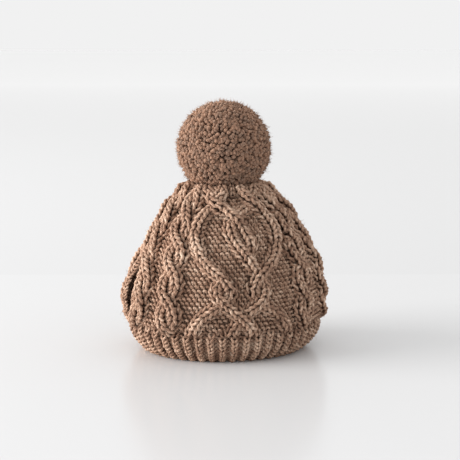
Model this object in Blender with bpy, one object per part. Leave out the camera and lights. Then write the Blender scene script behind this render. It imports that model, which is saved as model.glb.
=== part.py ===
"""A hand-knitted tea cosy: a front and a back panel with cables over a ribbed hem, sewn together at
the sides above and below a slit, and gathered at the crown under a pompom.

Metres, +Z up, standing on its hem. The panels face -Y and +Y. The wide slit is on the left (-X) and
the tall one on the right (+X).
"""

import functools
import math

import bmesh
import bpy
import numpy as np

MM = 0.001

# The knitted surface without its relief, from the hem over the shoulder to the rim of the crown.
# Half widths are taken at the seams, the half depth at the middle of a panel.
SECTION_COLUMNS = ("height", "left", "right", "half_depth")
SECTIONS = (
    (0.0, 67.0, 67.5, 59.0),
    (4.0, 72.0, 73.0, 63.5),
    (10.0, 77.5, 80.0, 68.5),
    (22.0, 83.0, 85.5, 72.5),
    (38.0, 85.5, 86.0, 73.5),
    (56.0, 83.5, 84.5, 72.0),
    (73.0, 76.0, 81.5, 68.0),
    (89.0, 67.5, 75.5, 62.5),
    (103.0, 60.0, 66.5, 56.5),
    (116.0, 53.5, 60.0, 50.5),
    (127.5, 45.0, 50.0, 43.5),
    (137.0, 37.0, 40.5, 37.0),
    (143.5, 32.3, 34.0, 33.0),
    (146.3, 30.8, 31.3, 31.0),
)

# Inside the rim the crown dips under the pompom and follows its round to the drawn-up centre.
POMPOM_HEIGHT = 176.2 * MM
POMPOM_RADIUS = 42.0 * MM
SEAT_GAP = 0.45 * MM
SEAT_ANGLES = (44.0, 34.0, 24.0, 14.0, 5.5)

THICKNESS = 4.0 * MM
SEAM_GAP = 0.3 * MM

# Relief on the tucked-in hem stands nearly level, so that none of it reaches below the hem's edge.
LEAST_DROP = -0.2

# Each slit runs between two places up the cloth. The edges of the front and of the back panel are
# drawn back from the seam there, and stand out a little.
SLIT_COLUMNS = ("low", "high", "front_gap", "back_gap", "flare")
SLITS = {"left": (30.0, 96.0, 19.5, 15.0, 3.0), "right": (33.0, 121.0, 9.0, 11.0, 1.5)}
FLARE_WIDTH = 18.0 * MM

# Ribbed hem: knit and purl columns in turn.
RIB_TOP = 33.0 * MM
RIB_COUNT = 24
RIB_RELIEF = 2.6 * MM

# The braid of four strands up the middle of a panel: at each height up the cloth, how far right of
# the middle the outer and the inner strand of the right half run (those of the left half mirror
# them), how far both inner strands lean to the right together, and whether each strand passes over
# (1) or under (-1) the one that it crosses there.
BRAID_COLUMNS = (
    "height",
    "outer",
    "inner",
    "lean",
    "outer_left",
    "inner_left",
    "inner_right",
    "outer_right",
)
BRAID = (
    (34.0, 42.0, -9.0, 0.0, 0, 0, 0, 0),
    (46.0, 33.0, 0.0, 0.0, 0, 1, -1, 0),
    (59.0, 15.5, 15.5, 0.0, -1, 1, 1, -1),
    (69.0, 10.0, 20.5, 0.0, 0, 0, 0, 0),
    (79.0, 15.5, 15.5, 1.0, 1, -1, -1, 1),
    (88.0, 25.0, 7.5, 4.0, 0, 0, 0, 0),
    (96.5, 31.5, 0.0, 6.5, 0, -1, 1, 0),
    (107.0, 35.5, -5.5, 5.0, 0, 0, 0, 0),
    (119.0, 35.5, -5.5, 0.5, 0, 0, 0, 0),
    (133.0, 28.0, 0.0, -2.0, 0, 1, -1, 0),
    (146.0, 16.0, 16.0, 0.0, -1, 1, -1, 1),
    (158.0, 8.0, 21.0, 0.0, 0, 0, 0, 0),
)
BRAID_STRAND = 5.8 * MM

# Rope cables: an inner and an outer one on each half of a panel, each of two strands. The inner one's
# place is a share of the way to the seam, where the panel is narrow and where it is wide. The swing is
# how suddenly its strands change sides.
ROPE_PITCH = 25.5 * MM
ROPE_START = 46.8 * MM
ROPE_SWING = 0.9
INNER_ROPE = 11.6 * MM
INNER_ROPE_PLACE = (0.57, 0.51)
OUTER_ROPE = 8.4 * MM
OUTER_ROPE_INSET = 12.0 * MM
NARROW_ROOM = 85.0 * MM
WIDE_ROOM = 125.0 * MM
STRAND_RELIEF = 4.2 * MM
CROSSING_RELIEF = 1.7 * MM
CABLE_END = 14.0 * MM

# Hand-knitted cloth is a little uneven, and pleats where the crown is drawn together.
SLACK_COLUMNS = ("turns", "waves", "phase", "depth")
SLACK = ((2.0, 1.3, 0.6, 0.8), (3.0, 2.1, 2.3, 0.6), (5.0, 3.2, 4.1, 0.4))
PLEATS = 9
PLEAT_DEPTH = 1.5 * MM
PLEAT_REACH = 45.0 * MM

OUTER_ROW = 4.9 * MM
INNER_ROW = 15.0 * MM
COLUMNS_PER_RIB = 3
LEAST_COLUMN = 1.8 * MM
ARC_STEPS = 90

LOCKS_ACROSS = 6
LOCK_ROOT = 33.0 * MM
LOCK_INSET = 0.11
LOCK_TAPER = 0.86
LOCK_LENGTHS = (0.975, 1.0)


def smooth(at, knots, values):
    """Smooth curve through (knots, values), read at one place or at many."""
    knots, values = np.asarray(knots, float), np.asarray(values, float)
    slopes = np.gradient(values, knots)
    index = np.clip(np.searchsorted(knots, at) - 1, 0, len(knots) - 2)
    width = knots[index + 1] - knots[index]
    t = np.clip((at - knots[index]) / width, 0.0, 1.0)
    start = (1 + 2 * t) * (1 - t) ** 2 * values[index] + t * (1 - t) ** 2 * width * slopes[index]
    end = t**2 * (3 - 2 * t) * values[index + 1] + t**2 * (t - 1) * width * slopes[index + 1]
    return start + end


def ramp(value, start, end):
    """0 before start and 1 after end, with a soft change between them."""
    t = np.clip((value - start) / (end - start), 0.0, 1.0)
    return t * t * (3 - 2 * t)


def seat_sections():
    """Sections of the crown's dimple, which follow the underside of the pompom."""
    reach = POMPOM_RADIUS + SEAT_GAP
    rows = []
    for angle in SEAT_ANGLES:
        radius = reach * math.sin(math.radians(angle))
        rows.append((POMPOM_HEIGHT - reach * math.cos(math.radians(angle)), radius, radius, radius))
    return rows


def slit_size(side, name):
    return SLITS[side][SLIT_COLUMNS.index(name)] * MM


def slit_opening(side, along):
    """0 where the panels are sewn together, 1 where the slit stands widest open."""
    low, high = slit_size(side, "low"), slit_size(side, "high")
    t = (along - low) / (high - low)
    return math.sin(math.pi * t**0.8) ** 0.8 if 0.0 < t < 1.0 else 0.0


class Cloth:
    """The round body of the cosy. A place on it has a distance along the cloth up from the hem."""

    def __init__(self):
        table = np.vstack([np.array(SECTIONS) * MM, seat_sections()])
        self.sections = dict(zip(SECTION_COLUMNS, table.T))
        girth = (table[:, 1] + table[:, 2] + 2 * table[:, 3]) / 4
        steps = np.hypot(np.diff(girth), np.diff(table[:, 0]))
        self.knots = np.concatenate([[0.0], np.cumsum(steps)])
        self.top = self.knots[-1]
        self.rim = self.knots[len(SECTIONS) - 1]

    @functools.lru_cache(maxsize=None)
    def size(self, name, along):
        return float(smooth(along, self.knots, self.sections[name]))

    def growth(self, name, along):
        """How fast a size of the section changes up the cloth."""
        step = 0.2 * MM
        low, high = max(along - step, 0.0), min(along + step, self.top)
        return (self.size(name, high) - self.size(name, low)) / (high - low)

    @functools.lru_cache(maxsize=None)
    def quarter(self, side, along):
        """Angles from the middle of a panel to its seam, and the distances round to them."""
        width, depth = self.size(side, along), self.size("half_depth", along)
        angles = np.linspace(0.0, math.pi / 2, ARC_STEPS + 1)
        speed = np.hypot(width * np.cos(angles), depth * np.sin(angles))
        steps = (speed[1:] + speed[:-1]) / 2 * np.diff(angles)
        return angles, np.concatenate([[0.0], np.cumsum(steps)])

    def room(self, side, along):
        """Distance from the middle of a panel to its seam."""
        return self.quarter(side, along)[1][-1]


class Panel:
    """One knitted panel, worked to a chart seen from outside: x is the distance right of its middle."""

    def __init__(self, cloth, face):
        self.cloth = cloth
        self.face = face
        self.sides = {-1: "left", 1: "right"} if face == "front" else {-1: "right", 1: "left"}

    def edge(self, sign, along):
        """Distance from the middle to the panel's edge on one hand."""
        side = self.sides[sign]
        gap = slit_size(side, self.face + "_gap") * slit_opening(side, along)
        return self.cloth.room(side, along) - gap

    def places(self, x, along, lift):
        """Points of the model, one for each place across the chart, lifted off the cloth."""
        spots = np.zeros((len(x), 3))
        lift = lift + np.zeros(len(x))
        for sign in (-1, 1):
            here = x * sign >= 0
            spots[here] = self.half(sign, np.abs(x[here]), along, lift[here])
        return spots

    def half(self, sign, reach, along, lift):
        """The points on one half of the panel, reach being the distance from the middle."""
        cloth, side = self.cloth, self.sides[sign]
        width, depth = cloth.size(side, along), cloth.size("half_depth", along)
        angles, arcs = cloth.quarter(side, along)
        angle = np.interp(reach, arcs, angles)
        sine, cosine = np.sin(angle), np.cos(angle)
        level = np.ones(len(reach))
        around = np.stack([width * cosine, depth * sine, 0 * level], axis=1)
        wider, deeper = cloth.growth(side, along), cloth.growth("half_depth", along)
        upward = np.stack([wider * sine, -deeper * cosine, cloth.growth("height", along) * level], axis=1)
        outward = np.cross(around, upward)
        outward /= np.linalg.norm(outward, axis=1)[:, None]
        outward[:, 2] = np.maximum(outward[:, 2], LEAST_DROP)
        edge = self.edge(sign, along)
        flare = slit_size(side, "flare") * slit_opening(side, along) * ramp(reach, edge - FLARE_WIDTH, edge)
        lift = lift + flare + self.slack(sign * angle, along)
        spots = np.stack([width * sine, -depth * cosine, cloth.size("height", along) * level], axis=1)
        spots += outward * lift[:, None]
        spots[:, 1] = np.minimum(spots[:, 1], -SEAM_GAP / 2)
        if along == 0.0:
            spots[:, 2] = 0.0
        across = 1.0 if side == "right" else -1.0
        toward = 1.0 if self.face == "front" else -1.0
        return spots * (across, toward, 1.0)

    def slack(self, turn, along):
        """Slow swells of the cloth, and the pleats that run into the crown."""
        rim = self.cloth.rim
        swell = 0.0
        for turns, waves, phase, depth in SLACK:
            swell = swell + depth * MM * np.sin(turns * turn + waves * math.pi * along / rim + phase)
        drawn = ramp(along, rim - PLEAT_REACH, rim - PLEAT_REACH / 3)
        pleat = PLEAT_DEPTH * drawn * np.cos(2 * PLEATS * turn)
        calm = ramp(along, 0.0, RIB_TOP) * (1 - ramp(along, rim - 8 * MM, rim))
        return calm * np.sqrt(np.abs(np.cos(turn))) * (swell + pleat)

    def strands(self, along):
        """Every cable strand at this height of the chart: (middle, half width, height of relief)."""
        found = []
        for sign in (-1, 1):
            room = self.cloth.room(self.sides[sign], along)
            share = float(np.interp(room, (NARROW_ROOM, WIDE_ROOM), INNER_ROPE_PLACE))
            scale = min(1.0, room / NARROW_ROOM)
            found += rope(sign * share * room, INNER_ROPE * scale, along)
            outer = self.edge(sign, along) - OUTER_ROPE_INSET * scale
            found += rope(sign * outer, OUTER_ROPE * scale, along)
        return found + braid(along)

    def relief(self, x, fraction, along):
        """How far ribs and cables stand off the cloth. The fraction runs from edge to edge."""
        rib = RIB_RELIEF * (0.5 + 0.5 * np.cos(2 * math.pi * RIB_COUNT * fraction))
        cables = np.zeros(len(x))
        for middle, half_width, height in self.strands(along):
            off = (x - middle) / half_width
            cables = np.maximum(cables, height * np.sqrt(np.maximum(0.0, 1 - off * off)))
        above = ramp(along, RIB_TOP - 4 * MM, RIB_TOP + 5 * MM)
        below = 1 - ramp(along, self.cloth.rim - CABLE_END, self.cloth.rim)
        return (rib * (1 - above) + cables * above) * below

    def rows(self, step, columns, lift):
        """Rows of points from hem to crown, with fewer columns where the panel narrows."""
        count = round(self.cloth.top / step)
        grid = []
        for number in range(count + 1):
            along = self.cloth.top * number / count
            left, right = self.edge(-1, along), self.edge(1, along)
            fewer = int(min(columns, max(4, (left + right) // LEAST_COLUMN)))
            fraction = np.linspace(0.0, 1.0, fewer + 1)
            x = (left + right) * fraction - left
            grid.append(self.places(x, along, lift(x, fraction, along)))
        return grid


def braid(along):
    """The braid's strands at one height, from the left to the right of their places at the hem."""
    table = dict(zip(BRAID_COLUMNS, np.array(BRAID).T))
    knots = table["height"] * MM
    found = []
    lean = float(smooth(along, knots, table["lean"] * MM))
    for hand, sign in (("left", -1), ("right", 1)):
        for strand, shift in (("outer", 0.0), ("inner", lean)):
            middle = shift + sign * float(smooth(along, knots, table[strand] * MM))
            over = float(smooth(along, knots, table[strand + "_" + hand])) * CROSSING_RELIEF
            found.append((middle, BRAID_STRAND, STRAND_RELIEF + over))
    return found


def rope(middle, half_width, along):
    """The two strands of a rope cable, which cross once in each pitch."""
    phase = math.pi * (along - ROPE_START) / ROPE_PITCH
    strand = half_width / 2
    swing = math.tanh(ROPE_SWING * math.cos(phase)) / math.tanh(ROPE_SWING) * strand
    over = CROSSING_RELIEF * math.sin(phase)
    return [
        (middle + swing, strand, STRAND_RELIEF + over),
        (middle - swing, strand, STRAND_RELIEF - over),
    ]


def zip_rows(mesh, lower, upper):
    """Triangles between two runs of points that may differ in number."""
    i = j = 0
    while i < len(lower) - 1 or j < len(upper) - 1:
        behind = (i + 1) / (len(lower) - 1) <= (j + 1) / (len(upper) - 1)
        if j == len(upper) - 1 or (i < len(lower) - 1 and behind):
            mesh.faces.new((lower[i], lower[i + 1], upper[j]))
            i += 1
        else:
            mesh.faces.new((lower[i], upper[j + 1], upper[j]))
            j += 1


def knitted_panel(name, face, cloth, finish):
    """A panel as one closed solid: a finely stepped outside, a plain inside and four edges."""
    panel = Panel(cloth, face)
    mesh = bmesh.new()
    columns = COLUMNS_PER_RIB * RIB_COUNT
    outside = panel.rows(OUTER_ROW, columns, panel.relief)
    inside = panel.rows(INNER_ROW, columns // 3, lambda x, fraction, along: -THICKNESS)
    layers = []
    for grid in (outside, inside):
        layers.append([[mesh.verts.new(spot) for spot in row] for row in grid])
        for lower, upper in zip(layers[-1], layers[-1][1:]):
            zip_rows(mesh, lower, upper)
        bmesh.ops.beautify_fill(mesh, faces=mesh.faces, edges=mesh.edges, method="ANGLE")
    outer, inner = layers
    for end in (0, -1):
        zip_rows(mesh, outer[end], inner[end])
        zip_rows(mesh, [row[end] for row in outer], [row[end] for row in inner])
    bmesh.ops.recalc_face_normals(mesh, faces=mesh.faces)
    return finished(name, mesh, finish)


def pompom(name, finish):
    """A ball of trimmed locks: each face of a rounded cube is drawn out from the core."""
    mesh = bmesh.new()
    bmesh.ops.create_cube(mesh, size=2.0)
    bmesh.ops.subdivide_edges(mesh, edges=mesh.edges, cuts=LOCKS_ACROSS - 1, use_grid_fill=True)
    for vert in mesh.verts:
        vert.co = [math.tan(value * math.pi / 4) for value in vert.co]
        vert.co = vert.co.normalized() * LOCK_ROOT
    faces = list(mesh.faces)
    pitch = 2 * math.pi * LOCK_ROOT / (4 * LOCKS_ACROSS)
    bmesh.ops.inset_individual(mesh, faces=faces, thickness=pitch * LOCK_INSET)
    drawn = bmesh.ops.extrude_discrete_faces(mesh, faces=faces)["faces"]
    lengths = np.random.default_rng(5).uniform(*LOCK_LENGTHS, len(drawn))
    for face, length in zip(drawn, lengths):
        centre = face.calc_center_median()
        outward = centre.normalized() * POMPOM_RADIUS
        for vert in face.verts:
            spread = (vert.co - centre) * LOCK_TAPER * POMPOM_RADIUS / LOCK_ROOT
            vert.co = (outward + spread).normalized() * POMPOM_RADIUS * length
    bmesh.ops.recalc_face_normals(mesh, faces=mesh.faces)
    ball = finished(name, mesh, finish)
    ball.location = (0.0, 0.0, POMPOM_HEIGHT)
    return ball


def wool(name, colour, roughness):
    """A woollen finish."""
    material = bpy.data.materials.new(name)
    material.use_nodes = True
    shader = material.node_tree.nodes["Principled BSDF"]
    shader.inputs["Base Color"].default_value = (*colour, 1.0)
    shader.inputs["Roughness"].default_value = roughness
    shader.inputs["Metallic"].default_value = 0.0
    return material


def finished(name, mesh, finish):
    """An object in the model's collection, made from the mesh."""
    data = bpy.data.meshes.new(name)
    mesh.to_mesh(data)
    mesh.free()
    data.materials.append(finish)
    data.shade_smooth()
    made = bpy.data.objects.new(name, data)
    bpy.data.collections["tea_cosy"].objects.link(made)
    return made


def main():
    for old in list(bpy.data.objects):
        bpy.data.objects.remove(old)
    collection = bpy.data.collections.new("tea_cosy")
    bpy.context.scene.collection.children.link(collection)
    knit = wool("heather_brown_wool", (0.30, 0.19, 0.135), 0.9)
    pile = wool("pompom_wool", (0.27, 0.155, 0.11), 0.95)
    cloth = Cloth()
    knitted_panel("front_panel", "front", cloth, knit)
    knitted_panel("back_panel", "back", cloth, knit)
    pompom("pompom", pile)


main()
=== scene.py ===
"""Looks of the hand-knitted tea cosy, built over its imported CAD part.

Both panels are knitted here stitch by stitch: every course is a run of yarn bent into knit or purl
loops, laid on the same surface that the CAD panels have. Cables are narrow courses knitted round their
own raised strands. The pompom is a ball of cut yarn ends. Short loose fibres lie over all of it.

Metres and +Z up, as in the frame. Sizes in millimetres are multiplied by MM.
"""

import functools
import math

import bpy
import numpy as np
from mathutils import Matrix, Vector


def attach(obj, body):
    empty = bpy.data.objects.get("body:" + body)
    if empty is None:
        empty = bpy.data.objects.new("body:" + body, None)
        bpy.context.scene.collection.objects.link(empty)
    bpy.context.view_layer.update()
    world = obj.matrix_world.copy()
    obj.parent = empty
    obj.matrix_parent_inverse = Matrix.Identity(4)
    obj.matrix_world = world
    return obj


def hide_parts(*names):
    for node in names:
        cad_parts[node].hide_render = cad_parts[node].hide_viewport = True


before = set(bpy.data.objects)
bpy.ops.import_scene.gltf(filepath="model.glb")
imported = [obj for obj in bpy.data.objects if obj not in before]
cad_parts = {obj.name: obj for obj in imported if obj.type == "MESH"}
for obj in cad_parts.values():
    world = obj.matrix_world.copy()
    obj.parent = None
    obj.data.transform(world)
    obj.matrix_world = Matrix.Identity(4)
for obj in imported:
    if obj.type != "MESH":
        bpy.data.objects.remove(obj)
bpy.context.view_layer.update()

MM = 0.001
TINY = 1e-12

# The cloth's own shape, repeated from the CAD source: heights and half sizes in millimetres of the
# surface that the knitting stands in, from the hem to the crown's rim, and the dimple that the pompom
# sits in, at angles in degrees from the pompom's lowest point.
SECTION_COLUMNS = ("height", "left", "right", "half_depth")
SECTIONS = (
    (0.0, 67.0, 67.5, 59.0),
    (4.0, 72.0, 73.0, 63.5),
    (10.0, 77.5, 80.0, 68.5),
    (22.0, 83.0, 85.5, 72.5),
    (38.0, 85.5, 86.0, 73.5),
    (56.0, 83.5, 84.5, 72.0),
    (73.0, 76.0, 81.5, 68.0),
    (89.0, 67.5, 75.5, 62.5),
    (103.0, 60.0, 66.5, 56.5),
    (116.0, 53.5, 60.0, 50.5),
    (127.5, 45.0, 50.0, 43.5),
    (137.0, 37.0, 40.5, 37.0),
    (143.5, 32.3, 34.0, 33.0),
    (146.3, 30.8, 31.3, 31.0),
)
POMPOM_HEIGHT = 176.2 * MM
POMPOM_RADIUS = 42.0 * MM
SEAT_GAP = 0.45 * MM
SEAT_ANGLES = (44.0, 34.0, 24.0, 14.0, 5.5)

# The slits, in millimetres: their lowest and highest place up the cloth, how far each panel draws back
# from the seam, and how far its edge flares outward.
SLITS = {
    "left": dict(low=30.0, high=96.0, front_gap=19.5, back_gap=15.0, flare=3.0),
    "right": dict(low=33.0, high=121.0, front_gap=9.0, back_gap=11.0, flare=1.5),
}
SLIT_SKEW = 0.8
SLIT_FULLNESS = 0.8
FLARE_WIDTH = 18.0 * MM

# Ribs of the hem, with knit stitches that RIB_SPREAD makes wider than the furrows. They sink a little
# towards their top, and the ground above them rises to meet them.
RIB_TOP = 33.0 * MM
RIB_COUNT = 24
RIB_RELIEF = 3.9 * MM
RIB_FADE = 6.0 * MM
RIB_SINK = 0.4
RIB_SPREAD = 0.1
RIB_RISE = 1.4 * MM

# The braid, in millimetres at heights up the cloth: how far its outer and inner strands lie from the
# middle, how far the inner pair leans to the right, and which strand passes over (1) or under (-1).
# One strand has no yarn over a short stretch, where the ground shows.
BRAID_COLUMNS = (
    "height",
    "outer",
    "inner",
    "lean",
    "outer_left",
    "inner_left",
    "inner_right",
    "outer_right",
)
BRAID = (
    (34.0, 42.0, -9.0, 0.0, 0, 0, 0, 0),
    (46.0, 33.0, 0.0, 0.0, 0, 1, -1, 0),
    (59.0, 15.5, 15.5, 0.0, -1, 1, 1, -1),
    (69.0, 10.0, 20.5, 0.0, 0, 0, 0, 0),
    (79.0, 15.5, 15.5, 1.0, 1, -1, -1, 1),
    (88.0, 25.0, 7.5, 4.0, 0, 0, 0, 0),
    (96.5, 31.5, 0.0, 6.5, 0, -1, 1, 0),
    (107.0, 35.5, -5.5, 5.0, 0, 0, 0, 0),
    (119.0, 35.5, -5.5, 0.5, 0, 0, 0, 0),
    (133.0, 28.0, 0.0, -2.0, 0, 1, -1, 0),
    (146.0, 16.0, 16.0, 0.0, -1, 1, -1, 1),
    (158.0, 8.0, 21.0, 0.0, 0, 0, 0, 0),
)
BRAID_STRAND = 5.8 * MM
TUCKED_STRAND = ("inner", "left")
TUCKED_STRETCH = (80.5 * MM, 96.5 * MM)

# The rope cables. Their places are shares of the room between the middle and the seam, which is less
# at the crown, or insets from the panel's edge. They narrow with the room.
ROPE_PITCH = 25.5 * MM
ROPE_START = 46.8 * MM
ROPE_SWING = 0.9
INNER_ROPE = 11.6 * MM
INNER_ROPE_PLACE = (0.57, 0.51)
OUTER_ROPE = 8.4 * MM
OUTER_ROPE_INSET = 12.0 * MM
NARROW_ROOM = 85.0 * MM
WIDE_ROOM = 125.0 * MM

# All the cables' strands: how high they stand, and where they rise out of the ribs and sink into the
# rim. Panel.strands lists those of the ropes first, then those of the braid.
STRAND_RELIEF = 4.2 * MM
CROSSING_RELIEF = 2.2 * MM
CABLE_START = (RIB_TOP - 4 * MM, RIB_TOP + 5 * MM)
CABLE_END = 7.0 * MM
ROPE_STRANDS = range(8)
BRAID_STRANDS = range(8, 12)

# Slow swells of the cloth: waves round it, half waves up it, phase, and depth in millimetres. The
# pleats of each panel's crown, and how near its rim the cloth comes to lie calm.
SLACK = ((2.0, 1.3, 0.6, 0.8), (3.0, 2.1, 2.3, 0.6), (5.0, 3.2, 4.1, 0.4))
PLEATS = 9
PLEAT_DEPTH = 1.5 * MM
PLEAT_REACH = 45.0 * MM
RIM_CALM = 8.0 * MM

# How finely a panel's chart is measured, how far a reading stays inside its last row, and how far down
# its outward directions may point.
ARC_STEPS = 90
MAP_STEP = 1.0 * MM
MAP_COLUMNS = 70
LAST_ROW_MARGIN = 1.001
LOWEST_OUTWARD = -0.2

# The gauge that the yarn is knitted to: the distance between courses, a loop's height each way, how far
# its head and feet bulge sideways, how far they stand out from its legs, and the yarn's radius. A stitch
# has SAMPLES points, and a run of no more than SHORTEST_RUN points is left out.
COURSE = 3.6 * MM
STITCH = 4.7 * MM
YARN_RADIUS = 1.15 * MM
KNIT = dict(course=COURSE, height=2.8 * MM, bulge=1.85, depth=1.2 * MM, radius=YARN_RADIUS)
PURL = dict(KNIT, height=2.35 * MM, bulge=0.75, depth=2.0 * MM, radius=1.1 * MM)
CABLE = dict(course=4.7 * MM, height=3.9 * MM, bulge=1.55, depth=1.2 * MM, radius=1.36 * MM)
PURL_SLANT = 0.8 * MM
HEAD_SHARE = 0.55
SAMPLES = 10
YARN_SIDES = 6
SHORTEST_RUN = 4

# How uneven the knitting is: loops' places, how far they stand out, and the yarn's radius.
UNEVEN = 0.26 * MM
UNEVEN_STAND = 0.25
UNEVEN_RADIUS = 0.07

# The ground lies below the cloth's surface, and its courses are ribs again in the gathered crown. The
# ribs' furrows carry more painted shade than their ridges, by FURROW_SHADE and RIDGE_SHADE.
GROUND_DEPTH = 3.5 * MM
CROWN_START = 155.0 * MM
CROWN_END = 182.0 * MM
CROWN_RELIEF = 1.9 * MM
FURROW_SHADE = 0.3
RIDGE_SHADE = 0.35

# Strands of the cables: how many wales each has, and how far they wrap round it. Where one strand runs
# under another, its yarn is left out; beside a strand the ground sinks into a crease, darkened with
# painted shade, and the strands' flanks carry painted shade too.
STRAND_WALES = 2
WRAP = math.radians(72.0)
STRAND_START = 30.0 * MM
STRAND_END = 171.0 * MM
STRAND_SPREAD = 1.16
STRAND_TRIM = 0.4 * MM
FLANK_DEPTH = 3.6 * MM
FLANK_SHADE = 0.4
CREST_DEPTH = 0.9 * MM
LEAST_NARROWING = 0.85
HIDDEN_SHARE = 0.7
COVER_HEIGHT = 1.2 * MM
COVER_SHARE = 0.62
CREASE_WIDTH = 4.5 * MM
CREASE_DEPTH = 0.9 * MM
CREASE_SHADE = 0.45

# The wales that run up each edge of a panel.
EDGE_INSET = 3.4 * MM
EDGE_WIDTH = 3.3 * MM
EDGE_RELIEF = 1.5 * MM
EDGE_END = 168.0 * MM

# The dark backing sheet of each panel, its inner face and painted shade seen between the yarns: how far
# it lies behind the surface and inside the panel's edges.
BACKING_DEPTH = 3.9 * MM
BACKING_START = 1.0 * MM
BACKING_STOP = 2.0 * MM
BACKING_INSET = 0.5 * MM
BACKING_ROWS = 60
BACKING_COLUMNS = 50

# Loose fibres: thin yarn of their own, out of the knitting's sides and on from the pompom's cut ends.
PANEL_FIBRES = dict(count=2300, lengths=(1.8 * MM, 4.0 * MM), thickness=0.12 * MM, steps=2)
POMPOM_FIBRES = dict(
    count=15500, lengths=(1.2 * MM, 2.9 * MM), thickness=0.15 * MM, steps=1, from_tips=True
)
FIBRE_SIDES = 4
FIBRE_TAPER = 0.7
FIBRE_LEAN = 0.6
FIBRE_BEND = 0.35
FIBRE_ROOT = 0.6
FIBRE_SIDE = (0.3, 0.5, 0.8)
FIBRE_TONES = (0.6, 1.0)

# The pompom: cut ends that bloom a little at their tips, leaning together in tufts. A profile gives a
# width at shares of an end's length. A swirl has its scale, its pull sideways and its change in length.
# END_BOW is in millimetres. Turns of yarn fill the core, dark in tone and all in painted shade.
# END_SHADE_POWER sets how soon the painted shade at an end's root gives way to the painted highlight at
# its tip.
END_COUNT = 2700
END_ROOT = 30.0 * MM
END_RADIUS = 1.62 * MM
END_PROFILE = ((0.0, 0.8), (0.7, 0.95), (0.9, 1.0), (0.975, 0.8), (1.0, 0.35))
END_SWIRLS = ((3.0, 0.025, 0.012), (6.0, 0.015, 0.006), (11.0, 0.012, 0.004))
END_REACH = 0.955
END_LEAN = 0.018
END_UNEVEN = (-0.032, 0.022)
END_WIDTHS = (0.85, 1.12)
END_BOW = 0.9
END_SHADE_POWER = 5
CORE_RADIUS = 35.5 * MM
CORE_YARN = 1.6 * MM
CORE_ROWS = 40
CORE_TONE = 0.2

PANEL_SEED = 11
POMPOM_SEED = 29

# Wool's colours, from its dark flecks to its light ones; the colour of painted shade in its hollows and
# of a painted highlight on its crests and tips. The pompom's wool has the same flecks in a deeper tint,
# and the backing sheet is plainer: a dark colour that paints the shade seen between the yarns.
WOOL_STOPS = (
    (0.2, (0.12, 0.052, 0.031)),
    (0.4, (0.33, 0.178, 0.112)),
    (0.55, (0.55, 0.34, 0.23)),
    (0.76, (0.95, 0.72, 0.55)),
)
PILE_TINT = (0.3, 0.182, 0.127)
HOLLOW_SHADE_COLOUR = (0.045, 0.018, 0.011)
TIP_HIGHLIGHT_COLOUR = (0.62, 0.44, 0.33)
BACKING_SHADE_COLOUR = (0.14, 0.085, 0.06)
SHEEN_TINT = (1.0, 0.66, 0.47)
SHEEN_ROUGHNESS = 0.45
SPECULAR = 0.2
WOOL_ROUGHNESS = 0.92
BACKING_ROUGHNESS = 0.95

# Flecks are stretched along the yarn and differ from stitch to stitch. Each kind of variation has its
# share of the colour, and the sum is shifted to the middle of the stops. The plies turn by PLY_TWIST
# radians for each millimetre of yarn, and GROOVE_SHADE paints shade into the grooves between them.
FLECK_STRETCH = 0.3
FLECK_SHIFT = 40.0
FLECK_SHARE = 1.2
PATCH_SHARE = 0.5
CLOUD_SHARE = 0.3
TONE_SHIFT = 0.505
PLY_TWIST = 0.8
GROOVE_SHADE = 0.2
BUMP_PLY = 0.7
BUMP_FIBRES = 0.5
BUMP_FLECKS = 0.2
BUMP_STRENGTH = 0.6
BUMP_DISTANCE = 0.35 * MM
MOTTLE_SCALE = 30.0
MOTTLE_SHADE = 0.96

# The studio: one wide sheet of satin paper. Seen from the front its colour steps a little darker along a
# line behind the object, a painted step of light where a wall would stand, and beyond it pales to white,
# painted light for a bright backdrop. The lights shine on the object from the left.
NEAR_COLOUR = (0.72, 0.72, 0.723)
MIDDLE_COLOUR = (0.7, 0.7, 0.703)
FAR_PAINTED_LIGHT = (1.0, 1.0, 1.0)
PAPER_ROUGHNESS = 0.22
TONE_LINE = 0.346
TONE_EDGE = 0.002
FADE_LENGTH = 7.0
FLOOR_HALF = 60.0
SURROUND_STRENGTH = 0.88
LIT_PLACE = Vector((0.0, 0.0, 0.1))
KEY_LIGHT = dict(place=(-4.2, 0.0, 2.9), wide=3.2, high=3.2, watts=55.0)
SIDE_LIGHT = dict(place=(-3.2, 0.3, 0.55), wide=2.4, high=0.9, watts=155.0)

# The camera, and how far right of and below the object's middle it aims, in millimetres.
VIEW_AZIMUTH = math.radians(-12.0)
VIEW_ELEVATION = math.radians(8.0)
VIEW_DISTANCE = 1.1
VIEW_MIDDLE = Vector((0.0, 0.0, 0.112))
AIM_RIGHT = 5.4
AIM_DOWN = 8.2
LENS = 98.0
SENSOR = 36.0


def smooth(at, knots, values):
    """Smooth curve through (knots, values), read at one place or at many."""
    knots, values = np.asarray(knots, float), np.asarray(values, float)
    slopes = np.gradient(values, knots)
    index = np.clip(np.searchsorted(knots, at) - 1, 0, len(knots) - 2)
    width = knots[index + 1] - knots[index]
    t = np.clip((at - knots[index]) / width, 0.0, 1.0)
    start = (1 + 2 * t) * (1 - t) ** 2 * values[index] + t * (1 - t) ** 2 * width * slopes[index]
    end = t**2 * (3 - 2 * t) * values[index + 1] + t**2 * (t - 1) * width * slopes[index + 1]
    return start + end


def ramp(value, start, end):
    """0 before start and 1 after end, with a soft change between them."""
    t = np.clip((value - start) / (end - start), 0.0, 1.0)
    return t * t * (3 - 2 * t)


def unit(vectors):
    return vectors / np.maximum(np.linalg.norm(vectors, axis=-1, keepdims=True), TINY)


def travel(points):
    """Distance gone along a path at each of its points."""
    steps = np.linalg.norm(np.diff(points, axis=0), axis=1)
    return np.concatenate([[0.0], np.cumsum(steps)])


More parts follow.
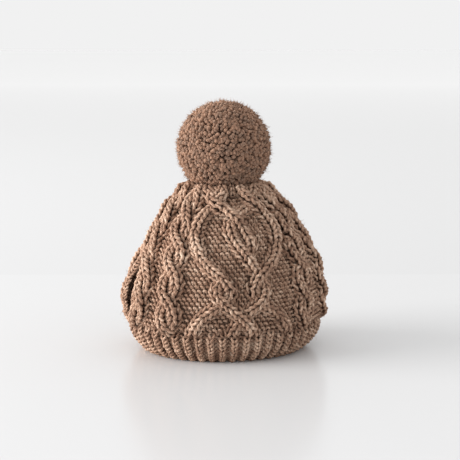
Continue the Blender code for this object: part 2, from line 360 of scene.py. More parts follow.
def seat_sections():
    """Sections of the crown's dimple, which follow the underside of the pompom."""
    reach = POMPOM_RADIUS + SEAT_GAP
    rows = []
    for angle in SEAT_ANGLES:
        radius = reach * math.sin(math.radians(angle))
        rows.append((POMPOM_HEIGHT - reach * math.cos(math.radians(angle)), radius, radius, radius))
    return rows


def slit_size(side, name):
    return SLITS[side][name] * MM


def slit_opening(side, along):
    """0 where the panels are sewn together, 1 where the slit stands widest open."""
    low, high = slit_size(side, "low"), slit_size(side, "high")
    t = (along - low) / (high - low)
    return math.sin(math.pi * t**SLIT_SKEW) ** SLIT_FULLNESS if 0.0 < t < 1.0 else 0.0


class Cloth:
    """The round body of the cosy. A place on it has a distance along the cloth up from the hem."""

    def __init__(self):
        table = np.vstack([np.array(SECTIONS) * MM, seat_sections()])
        self.sections = dict(zip(SECTION_COLUMNS, table.T))
        girth = (table[:, 1] + table[:, 2] + 2 * table[:, 3]) / 4
        steps = np.hypot(np.diff(girth), np.diff(table[:, 0]))
        self.knots = np.concatenate([[0.0], np.cumsum(steps)])
        self.top = self.knots[-1]
        self.rim = self.knots[len(SECTIONS) - 1]

    @functools.lru_cache(maxsize=None)
    def size(self, name, along):
        return float(smooth(along, self.knots, self.sections[name]))

    @functools.lru_cache(maxsize=None)
    def quarter(self, side, along):
        """Angles from the middle of a panel to its seam, and the distances round to them."""
        width, depth = self.size(side, along), self.size("half_depth", along)
        angles = np.linspace(0.0, math.pi / 2, ARC_STEPS + 1)
        speed = np.hypot(width * np.cos(angles), depth * np.sin(angles))
        steps = (speed[1:] + speed[:-1]) / 2 * np.diff(angles)
        return angles, np.concatenate([[0.0], np.cumsum(steps)])

    def room(self, side, along):
        """Distance from the middle of a panel to its seam."""
        return self.quarter(side, along)[1][-1]


class Panel:
    """One panel's chart, seen from outside: x is the distance right of its middle."""

    def __init__(self, cloth, face):
        self.cloth = cloth
        self.face = face
        self.sides = {-1: "left", 1: "right"} if face == "front" else {-1: "right", 1: "left"}
        self.alongs = np.arange(0.0, cloth.top, MAP_STEP)
        self.rooms = {s: np.array([cloth.room(self.sides[s], a) for a in self.alongs]) for s in (-1, 1)}
        self.grid = self.mapped()

    def edge(self, sign, along):
        """Distance from the middle to the panel's edge on one hand."""
        side = self.sides[sign]
        gap = slit_size(side, self.face + "_gap") * slit_opening(side, along)
        return self.cloth.room(side, along) - gap

    def mapped(self):
        """Points, outward and rightward directions over the whole panel, for reading between."""
        shares = np.linspace(0.0, 1.0, MAP_COLUMNS + 1)
        rows = []
        for along in self.alongs:
            left = self.half(-1, shares, along)[:0:-1]
            rows.append(np.vstack([left, self.half(1, shares, along)]))
        points = np.array(rows)
        right = unit(np.gradient(points, axis=1))
        outward = unit(np.cross(right, unit(np.gradient(points, axis=0))))
        outward[..., 2] = np.maximum(outward[..., 2], LOWEST_OUTWARD)
        return np.concatenate([points, outward, right], axis=2)

    def half(self, sign, shares, along):
        """Points on one half of the panel, at shares of the way from its middle to the seam."""
        cloth, side = self.cloth, self.sides[sign]
        width, depth = cloth.size(side, along), cloth.size("half_depth", along)
        angles, arcs = cloth.quarter(side, along)
        reach = shares * arcs[-1]
        angle = np.interp(reach, arcs, angles)
        edge = self.edge(sign, along)
        near_edge = ramp(reach, edge - FLARE_WIDTH, edge)
        flare = slit_size(side, "flare") * slit_opening(side, along) * near_edge
        outward = unit(np.stack([depth * np.sin(angle), -width * np.cos(angle)], axis=1))
        spots = np.stack([width * np.sin(angle), -depth * np.cos(angle)], axis=1)
        spots += outward * (flare + self.slack(sign * angle, along))[:, None]
        spots = np.column_stack([spots, np.full(len(shares), cloth.size("height", along))])
        across = 1.0 if side == "right" else -1.0
        toward = 1.0 if self.face == "front" else -1.0
        return spots * (across, toward, 1.0)

    def slack(self, turn, along):
        """Slow swells of the cloth, and the pleats that run into the crown."""
        rim = self.cloth.rim
        swell = 0.0
        for turns, waves, phase, depth in SLACK:
            swell = swell + depth * MM * np.sin(turns * turn + waves * math.pi * along / rim + phase)
        drawn = ramp(along, rim - PLEAT_REACH, rim - PLEAT_REACH / 3)
        pleat = PLEAT_DEPTH * drawn * np.cos(2 * PLEATS * turn)
        calm = ramp(along, 0.0, RIB_TOP) * (1 - ramp(along, rim - RIM_CALM, rim))
        return calm * np.sqrt(np.abs(np.cos(turn))) * (swell + pleat)

    def at(self, x, along):
        """Points, outward and rightward directions at places on the chart."""
        rooms = {sign: np.interp(along, self.alongs, self.rooms[sign]) for sign in (-1, 1)}
        share = x / np.where(x < 0, rooms[-1], rooms[1])
        column = (np.clip(share, -1.0, 1.0) + 1) * MAP_COLUMNS
        row = np.clip(along / MAP_STEP, 0.0, len(self.alongs) - LAST_ROW_MARGIN)
        i, j = row.astype(int), np.minimum(column.astype(int), 2 * MAP_COLUMNS - 1)
        a, b = (row - i)[..., None], (column - j)[..., None]
        lower = self.grid[i, j] * (1 - b) + self.grid[i, j + 1] * b
        upper = self.grid[i + 1, j] * (1 - b) + self.grid[i + 1, j + 1] * b
        spot = lower * (1 - a) + upper * a
        return spot[..., :3], unit(spot[..., 3:6]), unit(spot[..., 6:])

    def strands(self, along):
        """Every cable strand at this height of the chart: (middle, half width, height of relief)."""
        found = []
        for sign in (-1, 1):
            room = self.cloth.room(self.sides[sign], along)
            share = float(np.interp(room, (NARROW_ROOM, WIDE_ROOM), INNER_ROPE_PLACE))
            scale = min(1.0, room / NARROW_ROOM)
            found += rope(sign * share * room, INNER_ROPE * scale, along)
            outer = self.edge(sign, along) - OUTER_ROPE_INSET * scale
            found += rope(sign * outer, OUTER_ROPE * scale, along)
        return found + braid(along)

    def cable_share(self, along):
        """0 over the ribs and in the crown's rim, where the cables sink into the cloth, else 1."""
        above = ramp(along, *CABLE_START)
        below = 1 - ramp(along, self.cloth.rim - CABLE_END, self.cloth.rim)
        return above * below


def braid(along):
    """The braid's strands at one height, from the left to the right of their places at the hem."""
    table = dict(zip(BRAID_COLUMNS, np.array(BRAID).T))
    knots = table["height"] * MM
    found = []
    lean = float(smooth(along, knots, table["lean"] * MM))
    for hand, sign in (("left", -1), ("right", 1)):
        for strand, shift in (("outer", 0.0), ("inner", lean)):
            middle = shift + sign * float(smooth(along, knots, table[strand] * MM))
            over = float(smooth(along, knots, table[strand + "_" + hand])) * CROSSING_RELIEF
            tucked = (strand, hand) == TUCKED_STRAND and TUCKED_STRETCH[0] < along < TUCKED_STRETCH[1]
            found.append((middle, 0.0 if tucked else BRAID_STRAND, STRAND_RELIEF + over))
    return found


def rope(middle, half_width, along):
    """The two strands of a rope cable, which cross once in each pitch."""
    phase = math.pi * (along - ROPE_START) / ROPE_PITCH
    strand = half_width / 2
    swing = math.tanh(ROPE_SWING * math.cos(phase)) / math.tanh(ROPE_SWING) * strand
    over = CROSSING_RELIEF * math.sin(phase)
    return [
        (middle + swing, strand, STRAND_RELIEF + over),
        (middle - swing, strand, STRAND_RELIEF - over),
    ]


class Course:
    """One run of yarn bent into loops: across in stitches, along and outward in metres."""

    def __init__(self, stitches, gauge, rng, purl=False):
        turn = np.linspace(-math.pi, (2 * stitches - 1) * math.pi, stitches * SAMPLES + 1)
        self.across = (turn + math.pi + gauge["bulge"] * np.sin(2 * turn)) / (2 * math.pi)
        self.along = gauge["height"] * np.cos(turn) - (PURL_SLANT if purl else 0.0) * np.sin(turn)
        legs = -np.cos(2 * turn)
        heads = (1 - HEAD_SHARE) * -legs + HEAD_SHARE * np.cos(turn)
        self.stand = heads if purl else legs
        knots = np.arange(-1, stitches + 2)
        size = len(knots)

        def between(draws):
            """Draws for the knots, one to a stitch, read at each point of the run."""
            return np.interp(self.across, knots, draws)

        self.across = self.across + between(rng.normal(0.0, UNEVEN / STITCH, size))
        self.along = self.along + between(rng.normal(0.0, UNEVEN, size))
        self.stand = self.stand + between(rng.normal(0.0, UNEVEN_STAND, size))
        self.outward = gauge["depth"] * self.stand
        self.radius = gauge["radius"] * between(rng.normal(1.0, UNEVEN_RADIUS, size))
        self.tone = between(rng.uniform(0.0, 1.0, size))


def rib_course(along, left, right, rng):
    """A course of the hem's ribs: its run, places across, kind from purl (-1) to knit (1), and lift."""
    stitches = 2 * RIB_COUNT
    course = Course(stitches, KNIT, rng)
    kind = np.sin(math.pi * course.across)
    spread = course.across + RIB_SPREAD * (1 - np.cos(math.pi * course.across))
    x = (left + right) * spread / stitches - left
    rising = 1 - RIB_SINK * ramp(along, RIB_TOP - RIB_FADE, RIB_TOP)
    return course, x, kind, RIB_RELIEF * rising * (0.5 + 0.5 * kind)


def body_course(number, along, left, right, rng):
    """A course of purl loops, set half a stitch beside those of the next course."""
    first, last = math.floor(-left / STITCH) - 1, math.ceil(right / STITCH)
    course = Course(last - first, PURL, rng, purl=True)
    x = (course.across + first + 0.5 * (number % 2)) * STITCH
    rise = RIB_RISE * (1 - ramp(along, RIB_TOP, RIB_TOP + 2 * RIB_FADE))
    return course, x, np.ones(len(x)), np.full(len(x), rise)


def crown_course(left, right, rng):
    """A course of the gathered crown, with one rib on each pleat."""
    course = Course(2 * PLEATS, KNIT, rng)
    share = 2 * course.across / (2 * PLEATS) - 1
    x = np.where(share < 0, left, right) * share
    kind = np.cos(math.pi * (course.across - PLEATS))
    return course, x, kind, CROWN_RELIEF * (1 + kind)


def beside_strands(panel, x, along):
    """Where the ground shows beside the cables' strands, and how open it lies: 0 in a crease."""
    shown, open_share = np.ones(len(x), bool), np.ones(len(x))
    if STRAND_START < along < STRAND_END:
        for middle, half_width, _ in panel.strands(along):
            if half_width > 0.0:
                wide = half_width * STRAND_SPREAD
                away = np.abs(x - middle)
                shown &= away > wide * HIDDEN_SHARE
                open_share = np.minimum(open_share, ramp(away, wide, wide + CREASE_WIDTH))
    return shown, open_share


def ground_courses(panel, rng):
    """The background knitting: ribs at the hem, purl between the cables, ribs again in the crown."""
    runs = []
    for number in range(int(CROWN_END / COURSE)):
        along = (number + 0.5) * COURSE
        left, right = panel.edge(-1, along), panel.edge(1, along)
        ribbed = not RIB_TOP <= along < CROWN_START
        if along < RIB_TOP:
            course, x, kind, lift = rib_course(along, left, right, rng)
        elif along < CROWN_START:
            course, x, kind, lift = body_course(number, along, left, right, rng)
        else:
            course, x, kind, lift = crown_course(left, right, rng)
        shown, open_share = beside_strands(panel, x, along)
        shown &= (x > -left + YARN_RADIUS) & (x < right - YARN_RADIUS)
        points, outward, _ = panel.at(x, along + course.along)
        lift = lift - GROUND_DEPTH - CREASE_DEPTH * (1 - open_share)
        points = points + outward * (lift + course.outward * kind)[:, None]
        points[:, 2] = np.maximum(points[:, 2], course.radius)
        # Painted shade: darker in the hollows of each loop and in the creases beside the strands.
        painted_light = (0.5 + 0.5 * course.stand * kind) * (CREASE_SHADE + (1 - CREASE_SHADE) * open_share)
        # More painted shade in the ribs' furrows than on their ridges.
        if ribbed:
            painted_light = painted_light * (FURROW_SHADE + RIDGE_SHADE * (1 + kind))
        runs += pieces_of(shown, points, outward, course.radius, course.tone, painted_light)
    return runs


def pieces_of(shown, *parts):
    """The stretches of a run that show, each as a yarn of its own."""
    edges = np.flatnonzero(np.diff(np.concatenate([[0], shown.astype(int), [0]])))
    found = []
    for start, end in zip(edges[::2], edges[1::2]):
        if end - start > SHORTEST_RUN:
            found.append([part[start:end] for part in parts])
    return found


def strand_courses(panel, alongs, middle, half_width, height, covered, gauge, rng):
    """Short courses knitted round one raised strand, across its path, except where it is covered."""
    points, outward, right = panel.at(middle, alongs)
    forward = unit(np.gradient(points, axis=0))
    across = unit(np.cross(forward, outward))
    steepness = np.abs(np.sum(forward * np.cross(outward, right), axis=1))
    width = half_width * np.maximum(steepness, LEAST_NARROWING) - STRAND_TRIM
    travelled = travel(points)
    table = np.column_stack([points, outward, across, width, height])
    low = math.cos(WRAP)
    runs = []
    for start in np.arange(gauge["course"] / 2, travelled[-1], gauge["course"]):
        if np.interp(start, travelled, covered) > 0.5:
            continue
        course = Course(STRAND_WALES, gauge, rng)
        place = start + course.along
        spot = np.column_stack([np.interp(place, travelled, column) for column in table.T])
        centre, out, side = spot[:, :3], spot[:, 3:6], spot[:, 6:9]
        span, crest = spot[:, 9], spot[:, 10]
        angle = (2 * course.across / STRAND_WALES - 1) * WRAP
        drop = (crest - CREST_DEPTH + FLANK_DEPTH) / (1 - low)
        lift = (np.cos(angle) - low) * drop - FLANK_DEPTH
        leaning = np.sin(angle) / span
        rising = np.cos(angle) / np.maximum(drop, 1 * MM)
        radial = unit(side * leaning[:, None] + out * rising[:, None])
        centre = centre + side * (span * np.sin(angle))[:, None] + out * lift[:, None]
        centre = centre + radial * course.outward[:, None]
        # Painted shade: darker in the hollows of each loop and down the strand's flanks.
        painted_light = (0.5 + 0.5 * course.stand) * (FLANK_SHADE + (1 - FLANK_SHADE) * np.cos(angle))
        runs.append([centre, radial, course.radius, course.tone, painted_light])
    return runs


def cable_courses(panel, chosen, rng):
    """The courses of some of the panel's strands."""
    alongs = np.arange(STRAND_START, STRAND_END, MAP_STEP)
    table = np.array([panel.strands(along) for along in alongs])
    share = panel.cable_share(alongs)
    runs = []
    for number in chosen:
        middle, half_width, height = table[:, number].T
        covered = (half_width == 0.0).astype(float)
        for other in range(table.shape[1]):
            above = table[:, other, 2] - height > COVER_HEIGHT
            near = np.abs(table[:, other, 0] - middle) < COVER_SHARE * table[:, other, 1]
            covered = np.maximum(covered, above & near)
        wide, raised = half_width * STRAND_SPREAD, height * share
        runs += strand_courses(panel, alongs, middle, wide, raised, covered, CABLE, rng)
    return runs


def edge_courses(panel, rng):
    """The wales that run up each edge of the panel, beside the slits and the seams."""
    alongs = np.arange(STRAND_START, EDGE_END, MAP_STEP)
    width, covered = np.full(len(alongs), EDGE_WIDTH), np.zeros(len(alongs))
    height = EDGE_RELIEF * ramp(alongs, *CABLE_START)
    runs = []
    for sign in (-1, 1):
        middle = np.array([sign * (panel.edge(sign, along) - EDGE_INSET) for along in alongs])
        runs += strand_courses(panel, alongs, middle, width, height, covered, KNIT, rng)
    return runs


def fibres(runs, rng, count, lengths, thickness, steps, from_tips=False):
    """Loose fibres that curl off the yarn: out of its sides, or on from its cut ends."""
    chosen = rng.integers(0, len(runs), count)
    share = np.linspace(0.0, 1.0, steps + 1)[:, None]
    width = thickness * (1 - FIBRE_TAPER * share[:, 0] ** 2)
    found = []
    for number in chosen:
        centre, outward, radius = runs[number][:3]
        spot = int(rng.integers(1, len(centre)))
        length = rng.uniform(*lengths)
        onward = unit(centre[spot] - centre[spot - 1]) if from_tips else outward[spot]
        heading = unit(onward + rng.normal(0.0, FIBRE_LEAN, 3))
        bend = rng.normal(0.0, FIBRE_BEND, 3)
        root = centre[spot] + outward[spot] * radius[spot] * FIBRE_ROOT
        path = root + length * (heading * share + bend * share**2)
        path[:, 2] = np.maximum(path[:, 2], thickness)
        across = np.broadcast_to(unit(np.cross(heading, FIBRE_SIDE)), path.shape)
        tone = np.full(len(path), rng.uniform(*FIBRE_TONES))
        # Fibres take the full painted highlight and no painted shade.
        found.append([path, across, width, tone, np.ones(len(path))])
    return found


def yarn_piece(name, runs, finish, sides=YARN_SIDES):
    """One mesh of many yarns. A run has its centres, outward directions, radii, tones and painted light.

    Each point keeps its place on the yarn (millimetres along it, and how far to its side and outward)
    and its look (the stitch's own tone, and its painted light: 0 for painted shade in a hollow, 1 for a
    painted highlight on a crest).
    """
    turns = 2 * math.pi * np.arange(sides) / sides
    caps = np.array([(0, n, n + 1, (n + 2) % sides) for n in range(1, sides - 2, 2)])
    points, quads, places, looks = [], [], [], []
    start = 0
    for centre, outward, radius, tone, painted_light in runs:
        forward = unit(np.gradient(centre, axis=0))
        side = unit(np.cross(forward, outward))
        up = np.cross(side, forward)
        ring = np.cos(turns)[:, None] * side[:, None] + np.sin(turns)[:, None] * up[:, None]
        points.append((centre[:, None] + radius[:, None, None] * ring).reshape(-1, 3))
        length = travel(centre) / MM
        count = len(centre)
        place = np.empty((count, sides, 3))
        place[..., 0], place[..., 1], place[..., 2] = length[:, None], np.cos(turns), np.sin(turns)
        places.append(place.reshape(-1, 3))
        look = np.column_stack([tone, painted_light, np.zeros(count)])
        looks.append(np.repeat(look, sides, axis=0))
        index = start + np.arange(count * sides).reshape(count, sides)
        after = np.roll(index, -1, axis=1)
        walls = np.stack([index[:-1], after[:-1], after[1:], index[1:]], axis=2).reshape(-1, 4)
        quads += [walls, index[0, caps[:, ::-1]], index[-1, caps]]
        start += count * sides
    made = meshed(name, np.vstack(points), np.vstack(quads), finish)
    keep(made, "yarn", np.vstack(places))
    keep(made, "look", np.vstack(looks))
    return made


def meshed(name, points, quads, finish):
    """An object from arrays of points and quads."""
    mesh = bpy.data.meshes.new(name)
    mesh.vertices.add(len(points))
    mesh.vertices.foreach_set("co", points.astype(np.float32).ravel())
    mesh.loops.add(quads.size)
    mesh.loops.foreach_set("vertex_index", quads.astype(np.int32).ravel())
    mesh.polygons.add(len(quads))
    mesh.polygons.foreach_set("loop_start", np.arange(0, quads.size, 4, dtype=np.int32))
    mesh.update(calc_edges=True)
    mesh.materials.append(finish)
    mesh.shade_smooth()
    made = bpy.data.objects.new(name, mesh)
    bpy.context.scene.collection.objects.link(made)
    return made


def keep(piece, label, values):
    """Three numbers for each point of a piece, which its material reads by their label."""
    layer = piece.data.attributes.new(label, "FLOAT_VECTOR", "POINT")
    layer.data.foreach_set("vector", values.astype(np.float32).ravel())


def backing(panel, finish):
    """The panel's inner face behind its yarn, dark as painted shade between the yarns: one thin sheet
    from hem to crown.
    """
    rows = []
    for along in np.linspace(BACKING_START, panel.cloth.top - BACKING_STOP, BACKING_ROWS):
        left, right = panel.edge(-1, along), panel.edge(1, along)
        x = np.linspace(-left + BACKING_INSET, right - BACKING_INSET, BACKING_COLUMNS)
        points, outward, _ = panel.at(x, np.full(len(x), along))
        rows.append(points - outward * BACKING_DEPTH)
    index = np.arange(BACKING_ROWS * BACKING_COLUMNS).reshape(BACKING_ROWS, BACKING_COLUMNS)
    corners = [index[:-1, :-1], index[:-1, 1:], index[1:, 1:], index[1:, :-1]]
    quads = np.stack(corners, axis=2).reshape(-1, 4)
    return meshed(panel.face + "_backing", np.vstack(rows), quads, finish)


def pompom_ends(rng):
    """Yarn ends all over a ball, evenly spread and a little uneven in length and lean."""
    number = np.arange(END_COUNT) + 0.5
    polar = np.arccos(1 - 2 * number / END_COUNT)
    around = math.pi * (1 + 5**0.5) * number
    level = np.sin(polar)
    heading = np.stack([level * np.cos(around), level * np.sin(around), np.cos(polar)], axis=1)
    lean = np.zeros_like(heading)
    reach = np.full(END_COUNT, END_REACH)
    for scale, pull, rise in END_SWIRLS:
        wave = rng.normal(0.0, scale, (3, 3))
        phase = rng.uniform(0.0, 2 * math.pi, 3)
        swirl = np.sin(heading @ wave.T + phase)
        lean += pull * swirl
        reach += rise * swirl[:, 0]
    lean += rng.normal(0.0, END_LEAN, lean.shape)
    reach += rng.uniform(*END_UNEVEN, END_COUNT)
    tips = unit(heading + lean)
    shares, widths = np.array(END_PROFILE).T
    runs = []
    for root, tip, length in zip(heading, tips, reach):
        base, end = root * END_ROOT, tip * POMPOM_RADIUS * length
        bow = np.cross(root, rng.normal(0.0, 1.0, 3)) * END_BOW * MM
        centre = base + (end - base) * shares[:, None] + bow * np.sin(math.pi * shares)[:, None]
        across = np.broadcast_to(unit(np.cross(tip, rng.normal(0.0, 1.0, 3))), centre.shape)
        radius = END_RADIUS * rng.uniform(*END_WIDTHS) * widths
        tone = np.full(len(shares), rng.uniform(0.0, 1.0))
        # Painted light along each end: painted shade at its root, deep in the ball, and a painted
        # highlight at its tip.
        runs.append([centre + (0.0, 0.0, POMPOM_HEIGHT), across, radius, tone, shares**END_SHADE_POWER])
    return runs


def core_turns():
    """Turns of yarn that fill the middle of the pompom, behind its ends."""
    polar = np.linspace(0.0, math.pi, CORE_ROWS)
    around = np.linspace(0.0, 2 * math.pi, CORE_ROWS)
    radius, tone = np.full(CORE_ROWS, CORE_YARN), np.full(CORE_ROWS, CORE_TONE)
    runs = []
    for angle in polar[1:-1]:
        ring = np.stack([np.sin(angle) * np.cos(around), np.sin(angle) * np.sin(around)], axis=1)
        heading = np.column_stack([ring, np.full(CORE_ROWS, math.cos(angle))])
        centre = heading * CORE_RADIUS + (0.0, 0.0, POMPOM_HEIGHT)
        # These turns take the full painted shade.
        runs.append([centre, heading, radius, tone, np.zeros(CORE_ROWS)])
    return runs


class Wire:
    """A number in a material, carried by a node's output; arithmetic on it adds Math nodes."""

    def __init__(self, finish, socket):
        self.finish = finish
        self.socket = socket

    def combined(self, operation, first, second=0.0):
        return self.finish.add("ShaderNodeMath", {"operation": operation}, {0: first, 1: second})["Value"]

    def __add__(self, other):
        return self.combined("ADD", self, other)

    def __radd__(self, other):
        return self.combined("ADD", other, self)

    def __sub__(self, other):
        return self.combined("SUBTRACT", self, other)

    def __rsub__(self, other):
        return self.combined("SUBTRACT", other, self)

    def __mul__(self, other):
        return self.combined("MULTIPLY", self, other)

    def __rmul__(self, other):
        return self.combined("MULTIPLY", other, self)

    def __abs__(self):
        return self.combined("ABSOLUTE", self)

    def sine(self):
        return self.combined("SINE", self)

    def cosine(self):
        return self.combined("COSINE", self)


class Finish:
    """A material being made."""

    def __init__(self, name, roughness, sheen=0.0):
        self.material = bpy.data.materials.new(name)
        self.material.use_nodes = True
        self.tree = self.material.node_tree
        self.shader = self.tree.nodes["Principled BSDF"]
        self.set("Roughness", roughness)
        self.set("Specular IOR Level", SPECULAR)
        self.set("Sheen Weight", sheen)
        self.set("Sheen Roughness", SHEEN_ROUGHNESS)
        self.set("Sheen Tint", (*SHEEN_TINT, 1.0))

    def add(self, kind, settings, sockets):
        """A new node with its settings, then its sockets set or linked. Its outputs, by name."""
        node = self.tree.nodes.new(kind)
        for name, value in settings.items():
            if name == "stops":
                while len(node.color_ramp.elements) < len(value):
                    node.color_ramp.elements.new(0.5)
                for element, (place, colour) in zip(node.color_ramp.elements, value):
                    element.position = place
                    element.color = (*colour, 1.0)
            else:
                setattr(node, name, value)
        for name, value in sockets.items():
            self.put(node.inputs[name], value)
        return {output.name: Wire(self, output) for output in node.outputs if output.enabled}

    def put(self, socket, value):
        if isinstance(value, Wire):
            self.tree.links.new(value.socket, socket)
        else:
            socket.default_value = value

    def set(self, name, value):
        self.put(self.shader.inputs[name], value)

    def position(self):
        return self.add("ShaderNodeNewGeometry", {}, {})["Position"]

    def kept(self, label):
        """What a piece keeps for each point under a label."""
        return self.add("ShaderNodeAttribute", {"attribute_name": label}, {})["Vector"]

    def parts(self, vector):
        made = self.add("ShaderNodeSeparateXYZ", {}, {0: vector})
        return made["X"], made["Y"], made["Z"]

    def noise(self, place, scale, detail):
        made = self.add("ShaderNodeTexNoise", {}, {"Vector": place, "Scale": scale, "Detail": detail})
        return made["Fac"]

    def mix(self, share, first, second):
        """One colour turning into another. The node's colour sockets are found by number, 6 and 7."""
        colours = [value if isinstance(value, Wire) else (*value, 1.0) for value in (first, second)]
        sockets = {0: share, 6: colours[0], 7: colours[1]}
        return self.add("ShaderNodeMix", {"data_type": "RGBA"}, sockets)["Result"]


def tinted(stops, tint):
    """A ramp's stops, with each colour multiplied by a tint."""
    return [(place, tuple(part * share for part, share in zip(colour, tint))) for place, colour in stops]


def wool(name, stops, tip_highlight, underside_shade, hollow_shade, tone_spread, sheen):
    """Heathered two-ply wool: flecked along the yarn, with a soft bloom. Its colour carries painted shade
    in the grooves between its plies, on its underside and in its hollows, and a painted highlight on its
    crests and tips.

    The numbers say how strong the painted highlight on its tips is, how dark the painted shade on its
    underside and in its hollows, how far the stitches differ in tone, and how strong the bloom is.
    """
    finish = Finish(name, WOOL_ROUGHNESS, sheen)
    length, side, outward = finish.parts(finish.kept("yarn"))
    tone, painted_light, _ = finish.parts(finish.kept("look"))
    place = finish.position()
    stretched = {0: length * FLECK_STRETCH, 1: side, 2: outward + tone * FLECK_SHIFT}
    drawn = finish.add("ShaderNodeCombineXYZ", {}, stretched)["Vector"]
    flecks = finish.noise(drawn, scale=1.7, detail=3.0)
    patches = finish.noise(place, scale=260.0, detail=2.0)
    clouds = finish.noise(place, scale=40.0, detail=1.0)
    mixed = flecks * FLECK_SHARE + patches * PATCH_SHARE + (tone - 0.5) * tone_spread
    mixed = mixed + clouds * CLOUD_SHARE - TONE_SHIFT
    colour = finish.add("ShaderNodeValToRGB", {"stops": stops}, {0: mixed})["Color"]
    twist = length * PLY_TWIST
    ply = abs(side * twist.cosine() + outward * twist.sine())
    groove = 1 - ply
    # Painted shade mixed into the colour: in the ply grooves, in the knitting's hollows and on each
    # yarn's underside.
    hollow = (1 - painted_light) * (1 - painted_light)
    shade = groove * groove * GROOVE_SHADE + hollow * hollow_shade + (1 - outward) * underside_shade
    colour = finish.mix(shade, colour, HOLLOW_SHADE_COLOUR)
    # Painted highlight: lighter where the yarn stands out, on its crests and tips.
    finish.set("Base Color", finish.mix(painted_light * tip_highlight, colour, TIP_HIGHLIGHT_COLOUR))
    fuzz = finish.noise(drawn, scale=9.0, detail=2.0)
    height = ply * BUMP_PLY + fuzz * BUMP_FIBRES + flecks * BUMP_FLECKS
    relief = {"Strength": BUMP_STRENGTH, "Distance": BUMP_DISTANCE, "Height": height}
    finish.set("Normal", finish.add("ShaderNodeBump", {}, relief)["Normal"])
    return finish.material


def backing_shade(name, colour):
    """A plain dark colour of painted shade, with a faint mottle."""
    finish = Finish(name, BACKING_ROUGHNESS)
    mottle = finish.noise(finish.position(), MOTTLE_SCALE, detail=2.0)
    darker = tuple(MOTTLE_SHADE * part for part in colour)
    finish.set("Base Color", finish.mix(mottle, colour, darker))
    return finish.material


def paper(name, near, middle, far):
    """Satin paper whose colour steps at a line behind the object, a painted step of light, then pales
    away from it into painted light.
    """
    finish = Finish(name, PAPER_ROUGHNESS)
    x, y, _ = finish.parts(finish.position())
    depth = y * math.cos(VIEW_AZIMUTH) - x * math.sin(VIEW_AZIMUTH)
    away = depth - TONE_LINE
    # Painted light: the colour steps at the tone line, then pales to white with distance.
    beyond = finish.mix(away * (1 / FADE_LENGTH), middle, far)
    finish.set("Base Color", finish.mix(away * (1 / TONE_EDGE), near, beyond))
    return finish.material


def dress(piece):
    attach(piece, "root")


def knit_panels(knit, shade_sheet):
    """Both panels: dark backing sheets that stand for the CAD panels and paint the shade between the
    yarns, with their yarn on them.
    """
    cloth = Cloth()
    for number, face in enumerate(("front", "back")):
        panel = Panel(cloth, face)
        rng = np.random.default_rng(PANEL_SEED + number)
        ground = ground_courses(panel, rng)
        ropes = cable_courses(panel, ROPE_STRANDS, rng)
        braided = cable_courses(panel, BRAID_STRANDS, rng) + edge_courses(panel, rng)
        loose = fibres(ground + ropes + braided, rng, **PANEL_FIBRES)
        yarns = [
            yarn_piece(face + "_ground", ground, knit),
            yarn_piece(face + "_ropes", ropes, knit),
            yarn_piece(face + "_braid", braided, knit),
            yarn_piece(face + "_fuzz", loose, knit, FIBRE_SIDES),
        ]
        sheet = backing(panel, shade_sheet)
        for piece in [sheet, *yarns]:
            dress(piece)
        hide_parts(face + "_panel")


def make_pompom(pile):
    """The ball of cut ends that stands for the CAD pompom, and the fibres on it."""
    rng = np.random.default_rng(POMPOM_SEED)
    ends = pompom_ends(rng)
    ball = yarn_piece("pompom_pile", ends + core_turns(), pile)
    dress(ball)
    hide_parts("pompom")
    loose = fibres(ends, rng, **POMPOM_FIBRES)
    dress(yarn_piece("pompom_fuzz", loose, pile, FIBRE_SIDES))


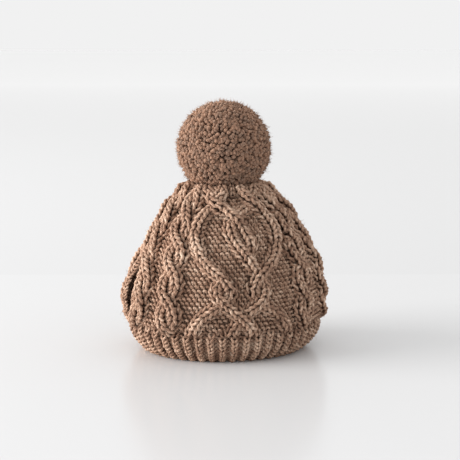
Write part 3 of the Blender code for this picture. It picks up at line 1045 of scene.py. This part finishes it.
def studio():
    """A pale floor, two large soft lights at the left, and light from all round."""
    finish = paper("studio_paper", NEAR_COLOUR, MIDDLE_COLOUR, FAR_PAINTED_LIGHT)
    corners = np.array([(-1, -1, 0), (1, -1, 0), (1, 1, 0), (-1, 1, 0)]) * FLOOR_HALF
    meshed("floor", corners, np.array([(0, 1, 2, 3)]), finish)
    world = bpy.data.worlds.new("studio")
    world.use_nodes = True
    surround = world.node_tree.nodes["Background"].inputs
    surround["Color"].default_value = (1.0, 1.0, 1.0, 1.0)
    surround["Strength"].default_value = SURROUND_STRENGTH
    bpy.context.scene.world = world
    soft_light("key", **KEY_LIGHT)
    soft_light("side", **SIDE_LIGHT)


def soft_light(name, place, wide, high, watts):
    """A rectangle of light that faces the object, and that neither the camera nor gloss shows."""
    lamp = bpy.data.lights.new(name, "AREA")
    lamp.shape = "RECTANGLE"
    lamp.size = wide
    lamp.size_y = high
    lamp.energy = watts
    made = bpy.data.objects.new(name, lamp)
    made.location = place
    made.rotation_euler = (LIT_PLACE - Vector(place)).to_track_quat("-Z", "Y").to_euler()
    made.visible_camera = False
    made.visible_glossy = False
    bpy.context.scene.collection.objects.link(made)


def camera():
    """The photograph's view: from the front, a little left of it and a little above."""
    azimuth, level = VIEW_AZIMUTH, math.cos(VIEW_ELEVATION)
    back = Vector((math.sin(azimuth) * level, -math.cos(azimuth) * level, math.sin(VIEW_ELEVATION)))
    right = Vector((math.cos(azimuth), math.sin(azimuth), 0.0))
    aim = VIEW_MIDDLE + right * AIM_RIGHT * MM - Vector((0.0, 0.0, AIM_DOWN * MM))
    data = bpy.data.cameras.new("camera")
    data.lens = LENS
    data.sensor_width = SENSOR
    made = bpy.data.objects.new("camera", data)
    made.location = VIEW_MIDDLE + back * VIEW_DISTANCE
    made.rotation_euler = (aim - made.location).to_track_quat("-Z", "Y").to_euler()
    bpy.context.scene.collection.objects.link(made)
    bpy.context.scene.camera = made


def main():
    camera()
    studio()
    knit = wool(
        "heather_brown_wool",
        WOOL_STOPS,
        tip_highlight=0.2,
        underside_shade=0.42,
        hollow_shade=0.8,
        tone_spread=0.25,
        sheen=0.15,
    )
    pile = wool(
        "pompom_wool",
        tinted(WOOL_STOPS, PILE_TINT),
        tip_highlight=0.35,
        underside_shade=0.0,
        hollow_shade=0.95,
        tone_spread=0.65,
        sheen=0.9,
    )
    # The backing sheets' dark colour is painted shade, seen between the yarns.
    shade_sheet = backing_shade("backing_shade_wool", BACKING_SHADE_COLOUR)
    knit_panels(knit, shade_sheet)
    make_pompom(pile)
    bpy.context.scene.view_settings.view_transform = "Standard"


main()
